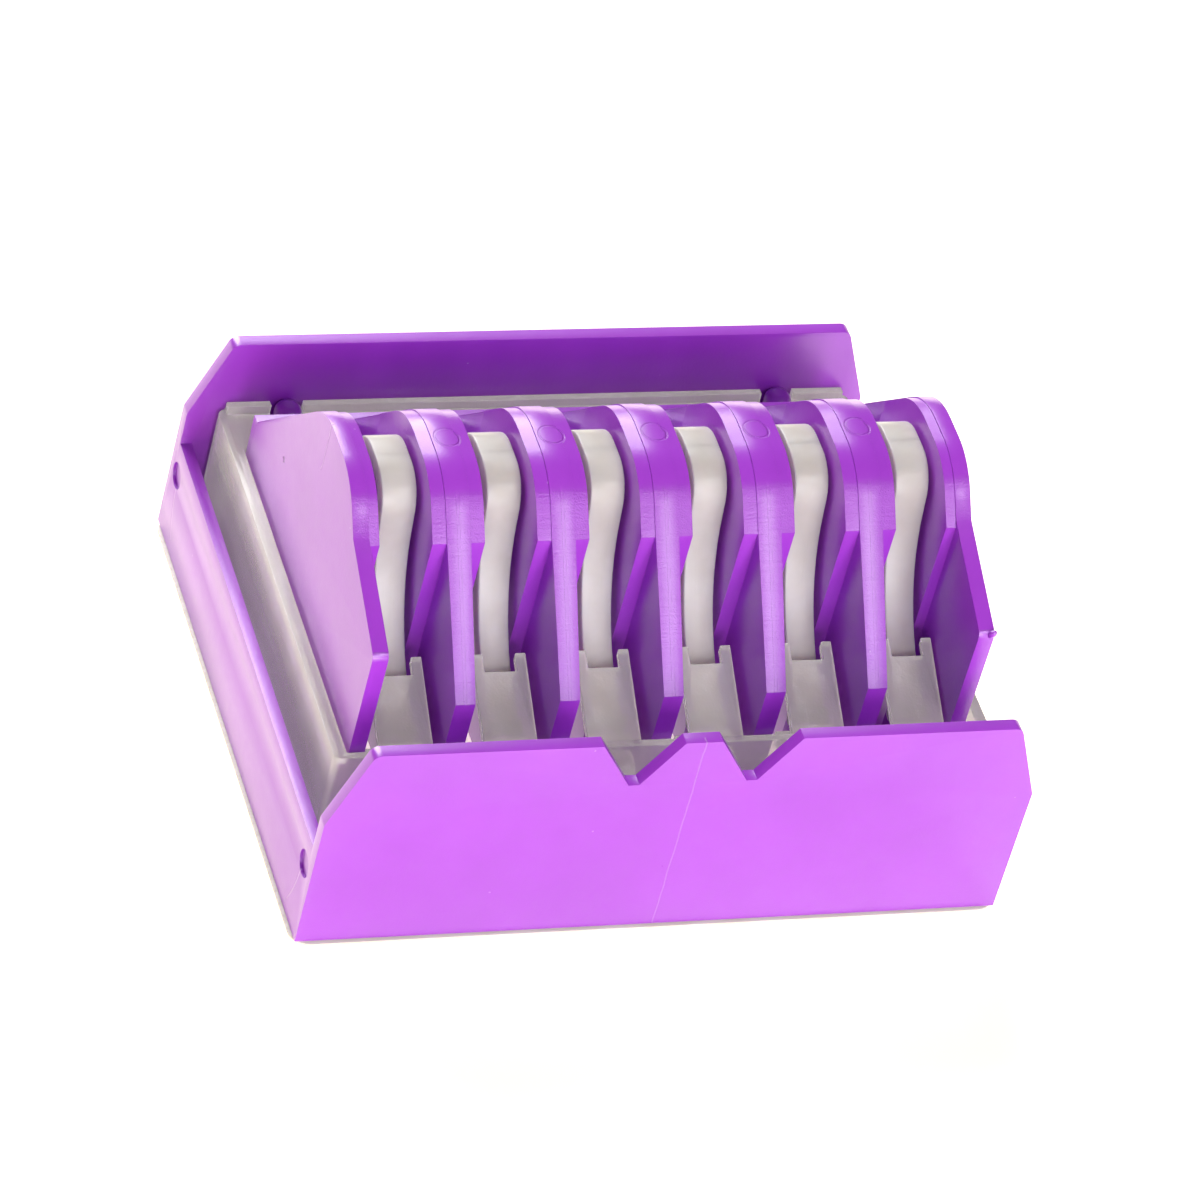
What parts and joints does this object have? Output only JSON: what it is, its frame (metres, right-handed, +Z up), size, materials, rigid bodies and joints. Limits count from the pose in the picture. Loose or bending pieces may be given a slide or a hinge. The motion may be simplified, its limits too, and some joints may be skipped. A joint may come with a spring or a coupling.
{
  "type": "ligating clip cartridge",
  "caption": "Low tray with tall end walls holding a rack of locking clips, each straddled between upright walls with its feet under springy tongues.",
  "frame": {"origin": "centre of the underside, on the release liner", "axes": "+X along the row of clips, +Y from the notched front wall to the plain back wall, +Z up"},
  "size_m": [0.0362, 0.0298, 0.019],
  "materials": {
    "purple_plastic": "satin moulded, faintly translucent",
    "natural_plastic": "satin, translucent natural",
    "clip_polymer": "semi-gloss, milky translucent",
    "pad_foam": "matt foam tape",
    "liner_paper": "smooth release paper"
  },
  "bodies": {
    "cartridge": {"tray": "purple_plastic", "rack": "purple_plastic", "insert": "natural_plastic", "adhesive_pad": "pad_foam", "release_liner": "liner_paper"},
    "clip_1": {"clip_1_hinge": "clip_polymer"},
    "clip_1_front": {"clip_1_front_leg": "clip_polymer"},
    "clip_1_back": {"clip_1_back_leg": "clip_polymer"},
    "clip_2": {"clip_2_hinge": "clip_polymer"},
    "clip_2_front": {"clip_2_front_leg": "clip_polymer"},
    "clip_2_back": {"clip_2_back_leg": "clip_polymer"},
    "clip_3": {"clip_3_hinge": "clip_polymer"},
    "clip_3_front": {"clip_3_front_leg": "clip_polymer"},
    "clip_3_back": {"clip_3_back_leg": "clip_polymer"},
    "clip_4": {"clip_4_hinge": "clip_polymer"},
    "clip_4_front": {"clip_4_front_leg": "clip_polymer"},
    "clip_4_back": {"clip_4_back_leg": "clip_polymer"},
    "clip_5": {"clip_5_hinge": "clip_polymer"},
    "clip_5_front": {"clip_5_front_leg": "clip_polymer"},
    "clip_5_back": {"clip_5_back_leg": "clip_polymer"},
    "clip_6": {"clip_6_hinge": "clip_polymer"},
    "clip_6_front": {"clip_6_front_leg": "clip_polymer"},
    "clip_6_back": {"clip_6_back_leg": "clip_polymer"}
  },
  "joints": [
    {"name": "clip_1_lift", "type": "slide", "parent": "cartridge", "child": "clip_1", "axis": [0, 0, 1], "range_m": [0, 0.0065]},
    {"name": "clip_1_front_fold", "type": "hinge", "parent": "clip_1", "child": "clip_1_front", "pos_m": [-0.01287, -0.0017, 0.0173], "axis": [1, 0, 0], "range_deg": [0, 30]},
    {"name": "clip_1_back_fold", "type": "hinge", "parent": "clip_1", "child": "clip_1_back", "pos_m": [-0.01287, 0.0017, 0.0173], "axis": [-1, 0, 0], "range_deg": [0, 30]},
    {"name": "clip_2_lift", "type": "slide", "parent": "cartridge", "child": "clip_2", "axis": [0, 0, 1], "range_m": [0, 0.0065]},
    {"name": "clip_2_front_fold", "type": "hinge", "parent": "clip_2", "child": "clip_2_front", "pos_m": [-0.00762, -0.0017, 0.0173], "axis": [1, 0, 0], "range_deg": [0, 30]},
    {"name": "clip_2_back_fold", "type": "hinge", "parent": "clip_2", "child": "clip_2_back", "pos_m": [-0.00762, 0.0017, 0.0173], "axis": [-1, 0, 0], "range_deg": [0, 30]},
    {"name": "clip_3_lift", "type": "slide", "parent": "cartridge", "child": "clip_3", "axis": [0, 0, 1], "range_m": [0, 0.0065]},
    {"name": "clip_3_front_fold", "type": "hinge", "parent": "clip_3", "child": "clip_3_front", "pos_m": [-0.00237, -0.0017, 0.0173], "axis": [1, 0, 0], "range_deg": [0, 30]},
    {"name": "clip_3_back_fold", "type": "hinge", "parent": "clip_3", "child": "clip_3_back", "pos_m": [-0.00237, 0.0017, 0.0173], "axis": [-1, 0, 0], "range_deg": [0, 30]},
    {"name": "clip_4_lift", "type": "slide", "parent": "cartridge", "child": "clip_4", "axis": [0, 0, 1], "range_m": [0, 0.0065]},
    {"name": "clip_4_front_fold", "type": "hinge", "parent": "clip_4", "child": "clip_4_front", "pos_m": [0.00287, -0.0017, 0.0173], "axis": [1, 0, 0], "range_deg": [0, 30]},
    {"name": "clip_4_back_fold", "type": "hinge", "parent": "clip_4", "child": "clip_4_back", "pos_m": [0.00287, 0.0017, 0.0173], "axis": [-1, 0, 0], "range_deg": [0, 30]},
    {"name": "clip_5_lift", "type": "slide", "parent": "cartridge", "child": "clip_5", "axis": [0, 0, 1], "range_m": [0, 0.0065]},
    {"name": "clip_5_front_fold", "type": "hinge", "parent": "clip_5", "child": "clip_5_front", "pos_m": [0.00813, -0.0017, 0.0173], "axis": [1, 0, 0], "range_deg": [0, 30]},
    {"name": "clip_5_back_fold", "type": "hinge", "parent": "clip_5", "child": "clip_5_back", "pos_m": [0.00813, 0.0017, 0.0173], "axis": [-1, 0, 0], "range_deg": [0, 30]},
    {"name": "clip_6_lift", "type": "slide", "parent": "cartridge", "child": "clip_6", "axis": [0, 0, 1], "range_m": [0, 0.0065]},
    {"name": "clip_6_front_fold", "type": "hinge", "parent": "clip_6", "child": "clip_6_front", "pos_m": [0.01337, -0.0017, 0.0173], "axis": [1, 0, 0], "range_deg": [0, 30]},
    {"name": "clip_6_back_fold", "type": "hinge", "parent": "clip_6", "child": "clip_6_back", "pos_m": [0.01337, 0.0017, 0.0173], "axis": [-1, 0, 0], "range_deg": [0, 30]}
  ],
  "couplings": [
    {"joint": "clip_1_front_fold", "follows": "clip_1_lift", "rad_per_m": 80.5},
    {"joint": "clip_1_back_fold", "follows": "clip_1_lift", "rad_per_m": 80.5},
    {"joint": "clip_2_front_fold", "follows": "clip_2_lift", "rad_per_m": 80.5},
    {"joint": "clip_2_back_fold", "follows": "clip_2_lift", "rad_per_m": 80.5},
    {"joint": "clip_3_front_fold", "follows": "clip_3_lift", "rad_per_m": 80.5},
    {"joint": "clip_3_back_fold", "follows": "clip_3_lift", "rad_per_m": 80.5},
    {"joint": "clip_4_front_fold", "follows": "clip_4_lift", "rad_per_m": 80.5},
    {"joint": "clip_4_back_fold", "follows": "clip_4_lift", "rad_per_m": 80.5},
    {"joint": "clip_5_front_fold", "follows": "clip_5_lift", "rad_per_m": 80.5},
    {"joint": "clip_5_back_fold", "follows": "clip_5_lift", "rad_per_m": 80.5},
    {"joint": "clip_6_front_fold", "follows": "clip_6_lift", "rad_per_m": 80.5},
    {"joint": "clip_6_back_fold", "follows": "clip_6_lift", "rad_per_m": 80.5}
  ]
}
